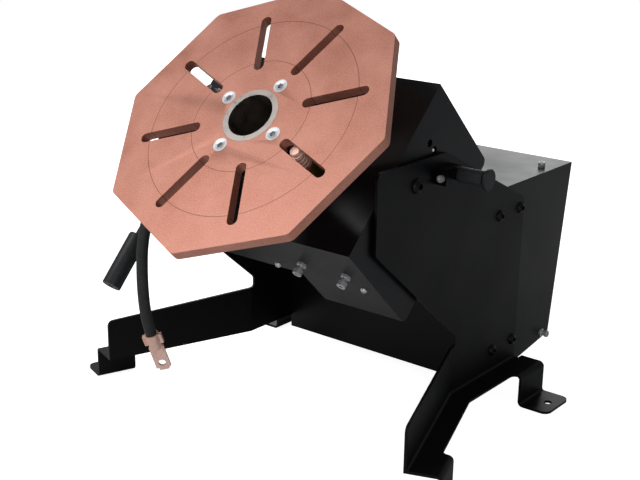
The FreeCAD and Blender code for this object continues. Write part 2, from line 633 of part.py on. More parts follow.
# ---------------------------------------------------------------- pivots and lever
right_pivot = join(bar((inside - 12, 0, 0), (1, 0, 0), "pivot_bolt / 2", 12 + 4 + 7 + S.air),
                   bar((S.plate_face + S.air, 0, 0), (1, 0, 0), 10.5, 6.6))
keep(cut(right_pivot, bar((S.plate_face + 3, 0, 0), (1, 0, 0), 4, 4)), "pivot_bolt_right", HEAD)
HUB = (-S.plate_face - 6.5, -S.plate_face - 28.5)
left_pivot = join(bar((-inside + 12, 0, 0), (-1, 0, 0), "pivot_bolt / 2", -HUB[1] - inside + 12 + 11),
                  bar((-S.plate_face - S.air, 0, 0), (-1, 0, 0), 8.75, 6.5 - S.air),
                  bar((HUB[1], 0, 0), (-1, 0, 0), 9.5, 8))
keep(left_pivot, "pivot_stud_left", HEAD)
LEVER_X = -212
lever_way = Vector(0, -math.cos(2.5 * DEG), -math.sin(2.5 * DEG))


def on_lever(reach):
    """A point of the lever's middle line, from the tilt axis."""
    return Vector(LEVER_X, 0, 0) + lever_way * reach


hub = cut(bar((HUB[0], 0, 0), (-1, 0, 0), 17, HUB[0] - HUB[1]),
          bar((HUB[0] + 1, 0, 0), (-1, 0, 0), "pivot_bolt / 2 + seat_fit", HUB[0] - HUB[1] + 2),
          bar(on_lever(9), lever_way, "6 + seat_fit", 12))
keep(hub, "lever_hub", HEAD)
keep(bar(on_lever(9), lever_way, 6, 241), "lever_rod", HEAD)
grip = join(bar(on_lever(171), lever_way, 13.6, 3), bar(on_lever(173), lever_way, 14.2, 82))
keep(cut(grip, bar(on_lever(170), lever_way, "6 + seat_fit", 80.2)), "lever_grip", HEAD)

# ---------------------------------------------------------------- bearings and spindle
HOUSING_TOP = S.front_face + 55
housing = join(bar((0, axis_y, S.front_face), (0, 0, 1), "housing_dia / 2", 55),
               bar((0, axis_y, S.front_face), (0, 0, 1), "housing_flange / 2", 10))
bore = bar((0, axis_y, S.front_face + 3), (0, 0, 1), "bearing_dia / 2 + seat_fit", 53)
STRAP_WAY = Vector(-145, 41 - axis_y, 0).normalize()
keep(cut(housing, bore, bar((0, axis_y, S.front_face - 1), (0, 0, 1), "bearing_dia / 2 - 6", 5),
         *[bar((x, y, S.front_face - 1), (0, 0, 1), "4 + seat_fit", 12) for x, y in FLANGE_BOLTS]),
     "bearing_housing", HEAD)


def bearing(low, label):
    """A deep-groove ball bearing, its rings and balls as one piece."""
    middle = (low + S.bearing_width / 2)
    bore_r, rim_r = S.spindle_dia / 2 + S.seat_fit, S.bearing_dia / 2
    pitch = (bore_r + rim_r) / 2
    outer = tube((0, axis_y, low), (0, 0, 1), "bearing_dia / 2", "bearing_dia / 2 - 7", "bearing_width")
    inner = tube((0, axis_y, low), (0, 0, 1), "spindle_dia / 2 + 7", "spindle_dia / 2 + seat_fit",
                 "bearing_width")
    shield = tube((0, axis_y, middle - 9), (0, 0, 1), "bearing_dia / 2 - 6.5", "spindle_dia / 2 + 6.5", 18)
    return keep(join(outer, inner, shield), label, HEAD)


REAR_RACE = S.front_face + 3
FRONT_RACE = REAR_RACE + S.bearing_width + S.bearing_gap
bearing(FRONT_RACE, "front_bearing")
bearing(REAR_RACE, "rear_bearing")
keep(group(*[join(bar((x, y, S.front_face + 10), (0, 0, 1), 6.5, 8),
                  bar((x, y, S.front_face + 10), (0, 0, -1), 4, 16),
                  bar((x, y, PLATE_BACK), (0, 0, -1), 6.5, 6.5)) for x, y in FLANGE_BOLTS]),
     "housing_screws", HEAD)

deep_end = S.table_face - S.spindle_tail
spindle = join(bar((0, 0, 0), (0, 0, -1), "spigot / 2", "table_thick + 1"),
               bar((0, 0, -S.table_thick), (0, 0, -1), "flange_dia / 2", "flange_thick"),
               bar((0, 0, -S.table_thick - 1), (0, 0, -1), "spindle_dia / 2", deep_end - S.table_thick - 1))
diagonal = S.screw_circle / 2 * math.sqrt(0.5)
SCREWS = [(diagonal, diagonal), (-diagonal, diagonal), (-diagonal, -diagonal), (diagonal, -diagonal)]
keep(cut(spindle, bar((0, 0, 1), (0, 0, -1), "through_bore / 2", deep_end + 2),
         *[bar((x, y, -14), (0, 0, -1), "screw_shank / 2 + seat_fit", 14) for x, y in SCREWS]), "spindle", SPIN)
NUT_TOP = REAR_RACE
wrench_slots = []
nut_rim = S.spindle_dia / 2 + 10
for x, y in ((nut_rim, 0), (0, nut_rim), (-nut_rim, 0), (0, -nut_rim)):
    wrench_slots.append(beam((x - 5, x + 5), (axis_y + y - 5, axis_y + y + 5), (NUT_TOP - 15, NUT_TOP + 1)))
keep(cut(bar((0, axis_y, NUT_TOP - 14), (0, 0, 1), "spindle_dia / 2 + 10", 14),
         bar((0, axis_y, NUT_TOP - 15), (0, 0, 1), "spindle_dia / 2 + seat_fit", 16), *wrench_slots),
     "spindle_nut", HEAD)

# ---------------------------------------------------------------- table
HALF = "table_flats / 2"
table = new_body("TableBlank")
octagon = []
for turn in range(8):
    angle = 45 * turn + 22.5
    octagon.append((f"{HALF} / cos(22.5) * cos({angle})", f"{HALF} / cos(22.5) * sin({angle})"))
pad(table, outline(sketch_on(table, "XY_Plane"), octagon), "table_thick", back=True)
reach = S.table_flats / 2 / math.cos(22.5 * DEG)
table_corners = [(22.5 + 45 * turn) * DEG for turn in range(8)]
round_off(table, [(Vector(reach * math.cos(a), reach * math.sin(a), 0), Z) for a in table_corners], "table_corner")
pocket(table, ring(sketch_on(table, "XY_Plane"), "spigot + 2 * seat_fit"), "table_thick")
ends = ("slot_inner + slot_width / 2", "slot_outer - slot_width / 2")
track = pocket(table, outline(sketch_on(table, "XY_Plane"), (
    (ends[0], "-slot_width / 2"), (ends[1], "-slot_width / 2"), (ends[1], "slot_width / 2"),
    (ends[0], "slot_width / 2"),
)), "table_thick")
caps = [pocket(table, ring(sketch_on(table, "XY_Plane"), "slot_width", end), "table_thick") for end in ends]
repeat(table, [track, *caps], 8)
sink = S.screw_head / 2 - S.screw_shank / 2
keep(cut(table, *[bar((x, y, 1), (0, 0, -1), "screw_shank / 2 + seat_fit", 17) for x, y in SCREWS],
         *[cone((x, y, 0), (0, 0, -1), "screw_head / 2", "screw_shank / 2", sink) for x, y in SCREWS]),
     "table_plate", SPIN)
table_screws = []
for x, y in SCREWS:
    screw = join(cone((x, y, 0), (0, 0, -1), "screw_head / 2", "screw_shank / 2", sink),
                 bar((x, y, -sink), (0, 0, -1), "screw_shank / 2", 21))
    table_screws.append(cut(screw, bar((x, y, 1), (0, 0, -1), 3.5, 5)))
keep(group(*table_screws), "table_screws", SPIN)


# ---------------------------------------------------------------- spindle drive
def involute(angle):
    return math.tan(angle) - angle


def gear(teeth, middle_tooth):
    """Outline points of an involute gear; middle_tooth is the angle of one tooth's middle."""
    pitch = teeth * S.gear_module / 2
    base, tip, root = pitch * math.cos(20 * DEG), pitch + S.gear_module, pitch - 1.25 * S.gear_module
    half = (math.pi * S.gear_module / 2 - S.gear_backlash) / (2 * pitch)
    radii = (max(root, base), pitch, tip)
    points = []
    for tooth in range(teeth):
        centre = middle_tooth + 2 * math.pi * tooth / teeth
        flank = [(r, half + involute(20 * DEG) - involute(math.acos(min(1, base / r)))) for r in radii]
        flank.insert(0, (root, min(flank[0][1] + 0.1 / pitch, math.pi / teeth - 0.002)))
        for r, spread in flank:
            points.append(Vector(r * math.cos(centre - spread), r * math.sin(centre - spread), 0))
        for r, spread in reversed(flank):
            points.append(Vector(r * math.cos(centre + spread), r * math.sin(centre + spread), 0))
    return points


def toothed(points, height):
    """Neither sketches nor primitives draw an involute, so its outline is a plain wire, then extruded."""
    wire = doc.addObject("Part::Feature", "Teeth")
    wire.Shape = Part.makePolygon([*points, points[0]])
    feature = doc.addObject("Part::Extrusion", "Gear")
    feature.Base = wire
    feature.Dir = Z
    feature.DirMode = "Custom"
    feature.Solid = True
    return bind(feature, LengthFwd=height)


gear_low = S.gear_front - S.gear_width
WHEEL = HEAD.multiply(Placement(Vector(0, axis_y, gear_low), Rotation()))
PINION = HEAD.multiply(Placement(Vector(GEAR_X, axis_y, gear_low - 1), Rotation()))
wheel_bore = bar((0, 0, -1), (0, 0, 1), "spindle_dia / 2 + seat_fit", "gear_width + 2")
keep(cut(toothed(gear(int(S.gear_teeth), 0), "gear_width"), wheel_bore), "driven_gear", WHEEL)
pinion_teeth = toothed(gear(int(S.pinion_teeth), math.pi + math.pi / S.pinion_teeth), "gear_width + 2")
GEARBOX_TOP = gear_low - 6
shaft_low = GEARBOX_TOP - 24 - (gear_low - 1)
keep(join(pinion_teeth, bar((0, 0, shaft_low), (0, 0, 1), "motor_shaft / 2", S.gear_width + 6 - shaft_low)),
     "pinion", PINION)
gearbox = beam((60, inside - 14), (sole + t, 30), (GEARBOX_TOP - 44, GEARBOX_TOP))
shaft_bore = bar((GEAR_X, axis_y, GEARBOX_TOP - 26), (0, 0, 1), "motor_shaft / 2 + running_fit", 27)
keep(cut(gearbox, shaft_bore,
         *[bar((x, sole, z), (0, 1, 0), "4 + seat_fit", 32) for x, z in GEARBOX_BOLTS]), "gearbox", HEAD)
keep(join(bar((GEAR_X, axis_y, GEARBOX_TOP - 44), (0, 0, -1), "motor_dia / 2", 72),
          bar((GEAR_X, axis_y, GEARBOX_TOP - 116), (0, 0, -1), "motor_dia / 2 - 6", 5)), "drive_motor", HEAD)
gearbox_bolts = []
for x, z in GEARBOX_BOLTS:
    bolt = join(bar((x, sole + 25, z), (0, -1, 0), 4, 34),
                bar((x, sole - 9, z), (0, -1, 0), 6.5, 8),
                bar((x, sole, z), (0, -1, 0), 6.5, 3.5))
    gearbox_bolts.append(cut(bolt, bar((x, sole - 12.5, z), (0, -1, 0), 3.2, 6)))
keep(group(*gearbox_bolts), "gearbox_bolts", HEAD)

# ---------------------------------------------------------------- current path to the table
brush_way = Vector(85, -30, 0).normalize() * (S.housing_dia / 2 + 15.14)
BRUSH = (brush_way.x, axis_y + brush_way.y)
FLANGE_FACE = S.front_face + 10
table_back = S.table_face - S.table_thick
holder = bar((*BRUSH, FLANGE_FACE), (0, 0, 1), 13, 30)
keep(cut(holder, bar((*BRUSH, FLANGE_FACE + 4), (0, 0, 1), "7 + running_fit", 28),
         bar((*BRUSH, FLANGE_FACE + 12), (0, 0, 1), 10.5, 19)), "brush_holder", HEAD)
brush_top = table_back - S.air
keep(join(bar((*BRUSH, FLANGE_FACE + 8), (0, 0, 1), 7, brush_top - FLANGE_FACE - 8),
          bar((*BRUSH, brush_top - 8), (0, 0, 1), 10, 3)), "brush", HEAD)
spring_low = FLANGE_FACE + 16.3
helix = doc.addObject("Part::Helix", "Helix")
helix.Pitch = 6
helix.Height = brush_top - 9 - spring_low
helix.Radius = 8.6
section = doc.addObject("Part::Circle", "Wire")
section.Radius = 1
section.Placement = Placement(Vector(8.6, 0, 0), Rotation(X, 90))
spring = doc.addObject("Part::Sweep", "Spring")
spring.Sections = [section]
spring.Spine = (helix, ["Edge1"])
spring.Solid = True
spring.Frenet = True
spring.Placement = Placement(Vector(*BRUSH, spring_low), Rotation())
keep(spring, "brush_spring", HEAD)

TERMINAL = Vector(-145, 41, 0)
strap_frame = Placement(Vector(TERMINAL.x, TERMINAL.y, FLANGE_FACE), Rotation(X, STRAP_WAY))
strap = beam((-72, 14), (-12.5, 12.5), (0, 3))
strap_bores = [bar((0, 0, -1), (0, 0, 1), "5 + seat_fit", 5)]
strap.Placement = strap_frame.multiply(strap.Placement)
strap_bores[0].Placement = strap_frame.multiply(strap_bores[0].Placement)
keep(cut(strap, *strap_bores), "bus_strap", HEAD)
LUG_LOW = FLANGE_FACE + 3
keep(join(bar((TERMINAL.x, TERMINAL.y, FLANGE_FACE - 7), (0, 0, 1), 8.5, 7),
          bar((TERMINAL.x, TERMINAL.y, FLANGE_FACE - 1), (0, 0, 1), 5, 30),
          bar((TERMINAL.x, TERMINAL.y, LUG_LOW + 4), (0, 0, 1), 8.5, 8)), "terminal_bolt", HEAD)


# ---------------------------------------------------------------- cable
CORD = 8.25
to_world = HEAD.multVec
route = [to_world(Vector(-145, y, z)) for y, z in ((26, 77), (-34, 81), (-99, 82))]
route += [Vector(-145, y, z) for y, z in ((-436, 292), (-440, 216), (-433, 155), (-421, 125.6))]


def cord(points, radius):
    """A round cord: straight runs joined by tangent arcs. No sketch plane or primitive holds such a path."""
    edges, start = [], points[0]
    for before, at, after in zip(points, points[1:], points[2:]):
        into, away = (at - before), (after - at)
        half = into.getAngle(away) / 2
        arc_radius = 0.45 * min(into.Length, away.Length) / math.tan(half)
        print(f"cable bend radius {arc_radius:.0f} mm")
        step = arc_radius * math.tan(half)
        into.normalize()
        away.normalize()
        first, last = at - into * step, at + away * step
        bisector = (away - into).normalize()
        middle = at + bisector * (arc_radius / math.cos(half) - arc_radius)
        edges += [Part.makeLine(start, first), Part.Arc(first, middle, last).toShape()]
        start = last
    edges.append(Part.makeLine(start, points[-1]))
    wire = Part.Wire(edges)
    print(f"cable length {wire.Length:.1f} mm")
    profile = Part.Wire(Part.makeCircle(radius, points[0], points[1] - points[0]))
    feature = doc.addObject("Part::Feature", "Cord")
    feature.Shape = wire.makePipeShell([profile], True, False)
    return feature


keep(cord(route, CORD), "cable")


# The crimp lug: a barrel that holds the cord's end, with an ear on each side, and a flat palm turned outwards.
LUG_SEAT = 42.6
lug_frame = Placement(route[-1], Rotation(Z, route[-1] - route[-2]).multiply(Rotation(Z, -38)))
barrel = bar((0, 0, -12), (0, 0, 1), 10, 14)
ears = beam((-14, 14), (-3, 3), (-10, 6))
collar = bar((0, 0, 2), (0, 0, 1), 9, 12)
palm = join(beam((-11, 11), (-2, 2), (12, LUG_SEAT + 9)), beam((-7, 7), (-2, 2), (12, LUG_SEAT + 13)))
neck = beam((-9, 9), (-3.5, 3.5), (8, 20))
lug_bores = (bar((0, 0, -13), (0, 0, 1), CORD + S.seat_fit, 13), bar((0, -4, LUG_SEAT), (0, 1, 0), 5.5, 8))
keep(cut(join(barrel, ears, collar, neck, palm), *lug_bores), "cable_lug", lug_frame)
upper = join(beam((-156, -134), (26.5, 54), (LUG_LOW, LUG_LOW + 4)),
             beam((-156, -134), (26.5, 30), (LUG_LOW, 84)))
sleeve_way = Vector(0, -60, 4).normalize()
sleeve = bar(Vector(-145, 27, 77) - sleeve_way, sleeve_way, 10.8, 21)
terminal = cut(join(upper, sleeve), bar((-145, 26, 77), sleeve_way, CORD + S.seat_fit, 24),
               bar((*TERMINAL[:2], LUG_LOW - 1), (0, 0, 1), "5 + seat_fit", 6))
keep(terminal, "cable_terminal", HEAD)


# ---------------------------------------------------------------- checks and export
doc.recompute()
failed = [f"{o.Label}: {o.State}" for o in doc.Objects if "Invalid" in o.State or "Error" in o.State]
failed += [f"{p.Label}: bad shape" for p in parts if p.Shape.isNull() or not p.Shape.isValid()]
if failed:
    raise SystemExit("\n".join(failed))
os.makedirs("parts", exist_ok=True)
for part in parts:
    part.Shape.exportStep(f"parts/{part.Label}.step")
    print(f"{part.Label}: {len(part.Shape.Solids)} solids, {part.Shape.Volume / 1000:.1f} cm3")
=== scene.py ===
import json
import math

import bmesh
import bpy
import numpy as np
from mathutils import Matrix, Vector


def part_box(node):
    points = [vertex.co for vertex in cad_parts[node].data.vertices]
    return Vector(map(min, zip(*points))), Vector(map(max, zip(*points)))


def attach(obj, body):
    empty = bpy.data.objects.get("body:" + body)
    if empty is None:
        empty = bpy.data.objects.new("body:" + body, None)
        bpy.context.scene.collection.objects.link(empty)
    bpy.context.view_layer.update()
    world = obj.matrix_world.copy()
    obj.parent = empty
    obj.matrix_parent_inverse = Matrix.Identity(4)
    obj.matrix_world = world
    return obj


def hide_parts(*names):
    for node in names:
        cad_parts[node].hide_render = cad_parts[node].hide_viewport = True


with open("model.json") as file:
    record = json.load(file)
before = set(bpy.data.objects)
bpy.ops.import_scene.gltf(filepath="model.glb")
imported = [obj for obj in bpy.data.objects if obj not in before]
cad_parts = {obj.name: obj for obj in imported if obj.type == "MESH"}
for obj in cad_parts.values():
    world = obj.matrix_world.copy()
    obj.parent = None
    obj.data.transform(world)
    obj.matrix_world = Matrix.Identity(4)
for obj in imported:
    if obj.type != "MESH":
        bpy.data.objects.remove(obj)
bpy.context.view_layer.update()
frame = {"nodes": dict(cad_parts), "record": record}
nodes = frame["nodes"]

# ---------------------------------------------------------------- side plates
# Two upright sheets of 4 mm steel, laser cut with a notch in front and folded along the foot, each with a
# splayed front leg and two stepped feet. They are powder coated black with a fine satin grain, and the coat
# is thinner and catches the light along the cut edges.


def linear(colour):
    """Linear RGBA of a hex colour: a channel c is ((c + 0.055) / 1.055) ** 2.4, or c / 12.92 if dark."""
    rgb = [int(colour[i:i + 2], 16) / 255 for i in (1, 3, 5)]
    return [((c + 0.055) / 1.055) ** 2.4 if c > 0.04045 else c / 12.92 for c in rgb] + [1.0]


def new_material(name):
    """An empty material with its output and one Principled shader."""
    material = bpy.data.materials.new(name)
    material.use_nodes = True
    tree = material.node_tree
    tree.nodes.clear()
    output = tree.nodes.new("ShaderNodeOutputMaterial")
    shader = tree.nodes.new("ShaderNodeBsdfPrincipled")
    tree.links.new(shader.outputs[0], output.inputs["Surface"])
    return material, tree, shader


def add(tree, kind, settings=None, **inputs):
    """Adds a node with its settings, each input a value or a link. In input names, _ stands for a space."""
    node = tree.nodes.new(kind)
    for key, value in (settings or {}).items():
        setattr(node, key, value)
    for key, value in inputs.items():
        socket = node.inputs[int(key[1:])] if key[1:].isdigit() else node.inputs[key.replace("_", " ")]
        if isinstance(value, bpy.types.NodeSocket):
            tree.links.new(value, socket)
        else:
            socket.default_value = value
    return node


def ramp(tree, factor, *stops):
    """A colour ramp through (position, colour) stops, each colour a hex string or a grey value."""
    node = tree.nodes.new("ShaderNodeValToRGB")
    tree.links.new(factor, node.inputs[0])
    band = node.color_ramp
    while len(band.elements) < len(stops):
        band.elements.new(0.5)
    for element, (place, colour) in zip(band.elements, stops):
        element.position = place
        element.color = linear(colour) if isinstance(colour, str) else (colour, colour, colour, 1)
    return node.outputs["Color"]


def powder_coat(name, dark, light, rough=0.42, grain=0.05, sheen=0.3):
    """Satin powder coat: a broad faint mottle, a fine orange-peel bump and a slightly varied gloss."""
    material, tree, shader = new_material(name)
    place = add(tree, "ShaderNodeTexCoord").outputs["Object"]
    mottle = add(tree, "ShaderNodeTexNoise", Vector=place, Scale=9.0, Detail=5.0).outputs["Fac"]
    peel = add(tree, "ShaderNodeTexNoise", Vector=place, Scale=620.0, Detail=2.0).outputs["Fac"]
    dust = add(tree, "ShaderNodeTexNoise", Vector=place, Scale=140.0, Detail=6.0).outputs["Fac"]
    blend = add(tree, "ShaderNodeMath", {"operation": "MULTIPLY"}, _0=mottle, _1=dust).outputs[0]
    tree.links.new(ramp(tree, blend, (0.12, dark), (0.5, light)), shader.inputs["Base Color"])
    gloss = ramp(tree, mottle, (0.3, rough - 0.05), (0.7, rough + 0.07))
    tree.links.new(gloss, shader.inputs["Roughness"])
    bump = add(tree, "ShaderNodeBump", Strength=grain, Distance=0.0004, Height=peel)
    tree.links.new(bump.outputs[0], shader.inputs["Normal"])
    shader.inputs["Specular IOR Level"].default_value = sheen
    return material


def finish(node, material):
    """Gives a CAD node its finish."""
    thing = nodes[node]
    if not thing.data.materials:
        thing.data.materials.append(material)
    for held in thing.material_slots:
        held.material = material


def body_of(node):
    """The moving body a node belongs to."""
    for body, members in frame["record"]["behaviour"]["bodies"].items():
        if node in members:
            return body
    raise KeyError(node)


def eased(node, material, width, segments=2):
    """Stands for a CAD node with the same shape, its sharp edges broken by a small bevel."""
    mesh = nodes[node].data.copy()
    mesh.name = node + "_eased"
    work = bmesh.new()
    work.from_mesh(mesh)
    bmesh.ops.remove_doubles(work, verts=work.verts, dist=2e-6)
    bmesh.ops.dissolve_limit(work, angle_limit=0.012, verts=work.verts, edges=work.edges)
    work.to_mesh(mesh)
    work.free()
    mesh.materials.clear()
    mesh.materials.append(material)
    mesh.polygons.foreach_set("use_smooth", np.ones(len(mesh.polygons), dtype=bool))
    mesh.set_sharp_from_angle(angle=math.radians(28))
    piece = bpy.data.objects.new(node + "_eased", mesh)
    bpy.context.scene.collection.objects.link(piece)
    bevel = piece.modifiers.new("Bevel", "BEVEL")
    bevel.width = width
    bevel.segments = segments
    bevel.limit_method = "ANGLE"
    bevel.angle_limit = math.radians(30)
    bevel.harden_normals = True
    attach(piece, body_of(node))
    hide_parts(node)
    return piece


plate_coat = powder_coat("plate_powder_coat", "#030305", "#08080b", rough=0.42, sheen=0.14)
for side in ("right", "left"):
    eased("side_plate_" + side, plate_coat, 0.0006)

# ---------------------------------------------------------------- side bolts
# M10 button head screws of black oxide steel with a nut inside, four to a side, that clamp the housing
# between the plates. The heads are domed with a hexagon socket.


def oiled_steel(name, colour, rough=0.36, metal=0.85):
    """Blackened or bare steel: turned metal with faint smears of oil in its gloss."""
    material, tree, shader = new_material(name)
    place = add(tree, "ShaderNodeTexCoord").outputs["Object"]
    smear = add(tree, "ShaderNodeTexNoise", Vector=place, Scale=85.0, Detail=4.0).outputs["Fac"]
    tree.links.new(ramp(tree, smear, (0.3, rough - 0.08), (0.75, rough + 0.14)), shader.inputs["Roughness"])
    shader.inputs["Base Color"].default_value = linear(colour)
    shader.inputs["Metallic"].default_value = metal
    fine = add(tree, "ShaderNodeTexNoise", Vector=place, Scale=1500.0, Detail=1.0).outputs["Fac"]
    bump = add(tree, "ShaderNodeBump", Strength=0.04, Distance=0.0002, Height=fine)
    tree.links.new(bump.outputs[0], shader.inputs["Normal"])
    return material


def axes_along(direction):
    """Two unit vectors across a direction, as rows with it: the first is level where it can be."""
    along = np.array(direction, dtype=float)
    along /= np.linalg.norm(along)
    across = np.cross((0, 0, 1), along)
    if np.linalg.norm(across) < 1e-6:
        across = np.array((1.0, 0.0, 0.0))
    across /= np.linalg.norm(across)
    return np.array((across, np.cross(along, across), along))


def turned_points(origin, direction, profile, around=48):
    """Grid of points of a turned surface. A profile entry is (radius, height) for a circle, or
    (radius, height, n) for n flats at that radius: r / cos(angle from the middle of the flat)."""
    theta = np.linspace(0, 2 * np.pi, around, endpoint=False)
    rings = []
    for entry in profile:
        radius, height = entry[:2]
        reach = np.full(around, radius)
        if len(entry) == 3:
            flat = 2 * np.pi / entry[2]
            reach = radius / np.cos(np.mod(theta, flat) - flat / 2)
        level = np.full(around, height)
        rings.append(np.stack((reach * np.cos(theta), reach * np.sin(theta), level), axis=1))
    return np.array(rings) @ axes_along(direction) + np.array(origin)


def grid_faces(rows, columns, start=0):
    """Quads of a grid that is closed across its columns."""
    row, column = np.meshgrid(np.arange(rows - 1), np.arange(columns), indexing="ij")
    after = (column + 1) % columns
    corners = (row * columns + column, row * columns + after, (row + 1) * columns + after,
               (row + 1) * columns + column)
    return np.stack(corners, axis=-1).reshape(-1, 4) + start


def surface_piece(name, grids, material, smooth=35):
    """One mesh object from several closed grids, with doubled points merged and faces pointing outwards."""
    points, faces, start = [], [], 0
    for grid in grids:
        rows, columns = grid.shape[:2]
        points.append(grid.reshape(-1, 3))
        faces.append(grid_faces(rows, columns, start))
        start += rows * columns
    mesh = bpy.data.meshes.new(name)
    mesh.from_pydata(np.concatenate(points).tolist(), [], np.concatenate(faces).tolist())
    work = bmesh.new()
    work.from_mesh(mesh)
    bmesh.ops.remove_doubles(work, verts=work.verts, dist=1e-6)
    bmesh.ops.recalc_face_normals(work, faces=work.faces)
    work.to_mesh(mesh)
    work.free()
    mesh.polygons.foreach_set("use_smooth", np.ones(len(mesh.polygons), dtype=bool))
    mesh.set_sharp_from_angle(angle=math.radians(smooth))
    mesh.materials.append(material)
    piece = bpy.data.objects.new(name, mesh)
    bpy.context.scene.collection.objects.link(piece)
    return piece


def dress(piece, body, slot, *replaced):
    """Lets a piece ride on a body and hides the CAD nodes that it stands for. The slot is not used."""
    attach(piece, body)
    if replaced:
        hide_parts(*replaced)
    return piece


def dome(radius, height, socket, low=0.0):
    """Profile of a button head: r = R cos(t), h = H sin(t) above a short rim, down into a hexagon socket."""
    arc = np.linspace(0.12, 1.12, 9)
    crown = [(radius * math.cos(t), low + height * math.sin(t)) for t in arc]
    return [(radius * 0.97, low), (radius, low + 0.0004), *crown, (socket * 1.25, low + height * 0.95),
            (socket, low + height * 0.9, 6), (socket, low + height * 0.3, 6), (0, low + height * 0.22)]


PLATE_FACE = 0.195
black_steel = oiled_steel("blackened_steel", "#1c1c1e")
NUTTED = [(0, -0.016), (0.005, -0.016), (0.005, -0.014), (0.0078, -0.014, 6), (0.0078, -0.006, 6),
          (0.005, -0.006), (0.005, 0), *dome(0.00875, 0.0055, 0.003)]
for side, sign in (("right", 1), ("left", -1)):
    bolts = [turned_points((PLATE_FACE * sign, y, z), (sign, 0, 0), NUTTED)
             for y in (-0.045, 0.014) for z in (0.295, 0.083)]
    dress(surface_piece(f"side_bolts_{side}_turned", bolts, black_steel),
          "base", "black_steel", "side_bolts_" + side)

# ---------------------------------------------------------------- tilt pivots
# M12 shoulder screws that carry the head in flanged bronze bushes pressed into the side plates. The screws
# turn with the head, and the left one runs on as a stud for the lever.
bronze = oiled_steel("bush_bronze", "#9a7440", rough=0.4, metal=1.0)
finish("pivot_bushes", bronze)
pivot = np.array((0, -0.266, 0.385))
shoulder = [(0, -0.023), (0.006, -0.023), (0.006, 0.0003), *dome(0.0105, 0.0066, 0.004, low=0.0003)]
bolt = turned_points((PLATE_FACE, *pivot[1:]), (1, 0, 0), shoulder)
dress(surface_piece("pivot_bolt_turned", [bolt], black_steel), "head", "black_steel", "pivot_bolt_right")
stud_profile = [(0, -0.023), (0.006, -0.023), (0.006, 0.0003), (0.0084, 0.0003), (0.00875, 0.0007),
                (0.00875, 0.006), (0.0084, 0.0065), (0.006, 0.0065), (0.006, 0.0285), (0.0095, 0.0285, 6),
                (0.0095, 0.0365, 6), (0.006, 0.0368), (0.006, 0.0388), (0.0052, 0.0395), (0, 0.0395)]
stud = turned_points((-PLATE_FACE, *pivot[1:]), (-1, 0, 0), stud_profile)
dress(surface_piece("pivot_stud_turned", [stud], black_steel), "head", "black_steel", "pivot_stud_left")

# ---------------------------------------------------------------- housing
# The tub of the machine: 2 mm sheet folded to a front, an underside and two sides, with a lid that lies on
# top. It is coated like the side plates and holds the electrics.
case_coat = powder_coat("case_powder_coat", "#020203", "#060609", rough=0.36, grain=0.035, sheen=0.2)
eased("base_tub", case_coat, 0.0005)
eased("top_cover", case_coat, 0.0006)
bright_zinc = oiled_steel("bright_zinc", "#c3c4c6", rough=0.4, metal=0.7)
cap = [(0, -0.012), (0.0025, -0.012), (0.0025, 0), (0.0053, 0), (0.0055, 0.0003), (0.0055, 0.0073),
       (0.0049, 0.008), (0.0034, 0.008), (0.0028, 0.0076, 6), (0.0028, 0.004, 6), (0, 0.0036)]
dress(surface_piece("top_stud_turned", [turned_points((0.171, 0.116, 0.334), (0, 0, 1), cap)], bright_zinc),
      "base", "zinc", "top_stud")
earth = [(0, -0.010), (0.004, -0.010), (0.004, -0.006), (0.006, -0.006, 6), (0.006, -0.002, 6),
         (0.004, -0.002), (0.004, 0), (0.0062, 0, 6), (0.0062, 0.0024, 6), (0.004, 0.0025),
         (0.004, 0.008), (0.0052, 0.008), (0.0055, 0.0084), (0.0055, 0.0119), (0.005, 0.0125),
         (0.0032, 0.0125), (0.0026, 0.012, 6), (0.0026, 0.0095, 6), (0, 0.009)]
earth_points = turned_points((0.191, 0.116, 0.0615), (1, 0, 0), earth)
dress(surface_piece("earth_stud_turned", [earth_points], bright_zinc), "base", "zinc", "earth_stud")

# ---------------------------------------------------------------- rear panel and controls
# A flat coated sheet screwed into the open back of the tub, with the mains inlet, the pedal socket, the
# power rocker, the direction toggle and the speed knob.
eased("rear_panel", case_coat, 0.0004)
moulded_black = powder_coat("moulded_black_plastic", "#141517", "#2a2b2d", rough=0.5, grain=0.1)
for node in ("power_inlet", "pedal_socket", "speed_pot", "power_switch", "direction_switch", "power_rocker"):
    finish(node, moulded_black)
finish("panel_screws", black_steel)
finish("direction_toggle", bright_zinc)
finish("speed_knob", moulded_black)

# ---------------------------------------------------------------- electrics
# The power supply in its aluminium case and the control board on its pillars, both on the tub's front wall.
bare_aluminium = oiled_steel("bare_aluminium", "#a9abae", rough=0.45, metal=1.0)
finish("power_supply", bare_aluminium)
finish("control_board", powder_coat("board_lacquer", "#123a22", "#1d5a35", rough=0.3))

# ---------------------------------------------------------------- index bolt
# A 10 mm steel pin in a coated block on the right plate. Pulled by its black grip it leaves the head free to
# tilt; pushed home it enters one of the cheek's holes. A screw in front clamps it.
eased("plunger_block", plate_coat, 0.0008)
turned_steel = oiled_steel("turned_steel", "#9c9da0", rough=0.3, metal=1.0)
finish("plunger_pin", turned_steel)
finish("plunger_block_screw", bright_zinc)
low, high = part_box("plunger_grip")
pull = [(0, 0.0346), (0.00502, 0.0346), (0.00502, 0.019), (0.0088, 0.019), (0.0088, 0), (0.0103, 0),
        (0.01075, 0.0005), (0.01075, 0.0362), (0.0102, 0.037), (0.008, 0.0373), (0.0077, 0.039),
        (0.0082, 0.0407), (0.0138, 0.041), (0.0145, 0.0418), (0.0145, 0.0447), (0.014, 0.0453),
        (0, 0.0455)]
grip = turned_points((low[0], (low[1] + high[1]) / 2, (low[2] + high[2]) / 2), (1, 0, 0), pull)
dress(surface_piece("plunger_grip_turned", [grip], moulded_black), "plunger", "black_plastic", "plunger_grip")

